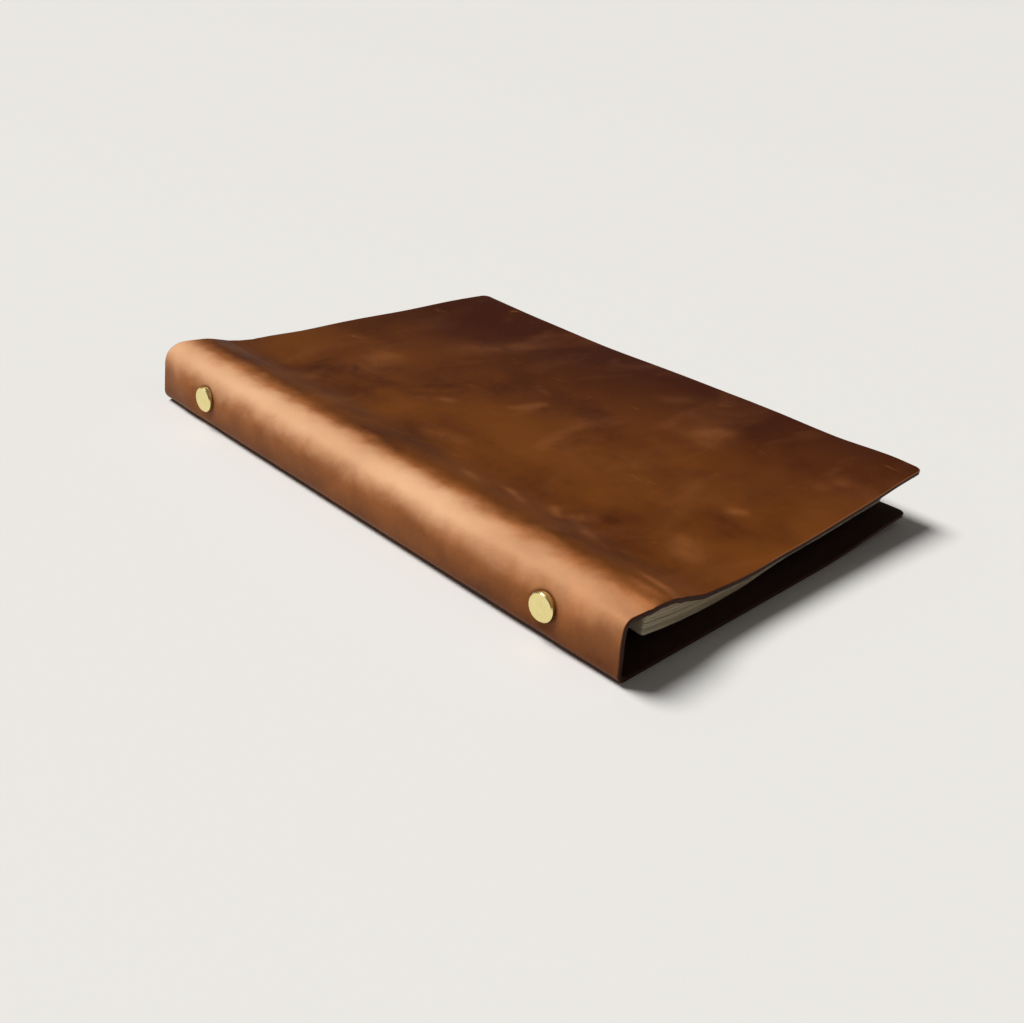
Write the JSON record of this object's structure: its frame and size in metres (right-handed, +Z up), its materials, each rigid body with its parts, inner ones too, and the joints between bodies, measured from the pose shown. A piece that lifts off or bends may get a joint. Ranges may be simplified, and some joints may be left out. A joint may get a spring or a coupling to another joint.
{
  "type": "ring-binder portfolio case",
  "caption": "Soft leather portfolio case folded from one hide round a ring mechanism held by brass posts through the spine, closed on a stack of punched sheets.",
  "frame": {"origin": "centre of the outside box in plan, on the surface that the back cover lies on", "axes": "+Z up out of the front cover, +Y along the spine away from the picture's near end, +X from the spine towards the fore-edge"},
  "size_m": [0.1718, 0.224, 0.0214],
  "materials": {
    "leather": "waxed pull-up, satin",
    "brass": "polished",
    "nickel_steel": "nickel plated",
    "ring_steel": "nickel plated wire",
    "blade_steel": "rolled strip",
    "pin_steel": "drawn",
    "paper": "uncoated"
  },
  "bodies": {
    "back": {"back_cover": "leather", "back_fold": "leather"},
    "spine": {"spine_panel": "leather", "front_fold": "leather", "post_near": "brass", "post_far": "brass", "screw_near": "brass", "screw_far": "brass", "housing": "nickel_steel", "pin_near": "pin_steel", "pin_far": "pin_steel"},
    "front": {"front_cover": "leather"},
    "upper_rings": {"upper_blade": "blade_steel", "upper_ring_1": "ring_steel", "upper_ring_2": "ring_steel", "upper_ring_3": "ring_steel", "upper_ring_4": "ring_steel", "upper_ring_5": "ring_steel", "upper_ring_6": "ring_steel"},
    "lower_rings": {"lower_blade": "blade_steel", "lower_ring_1": "ring_steel", "lower_ring_2": "ring_steel", "lower_ring_3": "ring_steel", "lower_ring_4": "ring_steel", "lower_ring_5": "ring_steel", "lower_ring_6": "ring_steel"},
    "near_lever": {"lever_near": "nickel_steel"},
    "far_lever": {"lever_far": "nickel_steel"},
    "lower_stack": {"lower_sheets": "paper"},
    "upper_stack": {"upper_sheets": "paper"}
  },
  "joints": [
    {"name": "spine_swing", "type": "hinge", "parent": "back", "child": "spine", "pos_m": [-0.08251, 0, 0.00164], "axis": [0, -1, 0], "range_deg": [0, 90], "deforming": ["back_fold"]},
    {"name": "front_swing", "type": "hinge", "parent": "spine", "child": "front", "pos_m": [-0.08251, 0, 0.01976], "axis": [0, -1, 0], "range_deg": [0, 90], "deforming": ["front_fold"]},
    {"name": "ring_open", "type": "hinge", "parent": "spine", "child": "upper_rings", "pos_m": [-0.0806, 0, 0.017], "axis": [0, -1, 0], "range_deg": [0, 4.8]},
    {"name": "lower_ring_open", "type": "hinge", "parent": "spine", "child": "lower_rings", "pos_m": [-0.0806, 0, 0.0044], "axis": [0, 1, 0], "range_deg": [0, 4.8]},
    {"name": "near_lever_press", "type": "hinge", "parent": "spine", "child": "near_lever", "pos_m": [-0.07955, -0.096, 0.0107], "axis": [0, 0, -1], "range_deg": [0, 9.6]},
    {"name": "far_lever_press", "type": "hinge", "parent": "spine", "child": "far_lever", "pos_m": [-0.07955, 0.096, 0.0107], "axis": [0, 0, 1], "range_deg": [0, 9.6]},
    {"name": "lower_stack_turn", "type": "hinge", "parent": "spine", "child": "lower_stack", "pos_m": [-0.06615, 0, 0.0107], "axis": [0, -1, 0], "range_deg": [-93, 0]},
    {"name": "upper_stack_turn", "type": "hinge", "parent": "spine", "child": "upper_stack", "pos_m": [-0.06615, 0, 0.0107], "axis": [0, -1, 0], "range_deg": [0, 95]}
  ],
  "couplings": [
    {"joint": "lower_ring_open", "follows": "ring_open", "ratio": 1},
    {"joint": "near_lever_press", "follows": "ring_open", "ratio": 2},
    {"joint": "far_lever_press", "follows": "ring_open", "ratio": 2},
    {"joint": "lower_stack_turn", "follows": "spine_swing", "ratio": -1.03},
    {"joint": "upper_stack_turn", "follows": "front_swing", "ratio": 1.054}
  ]
}
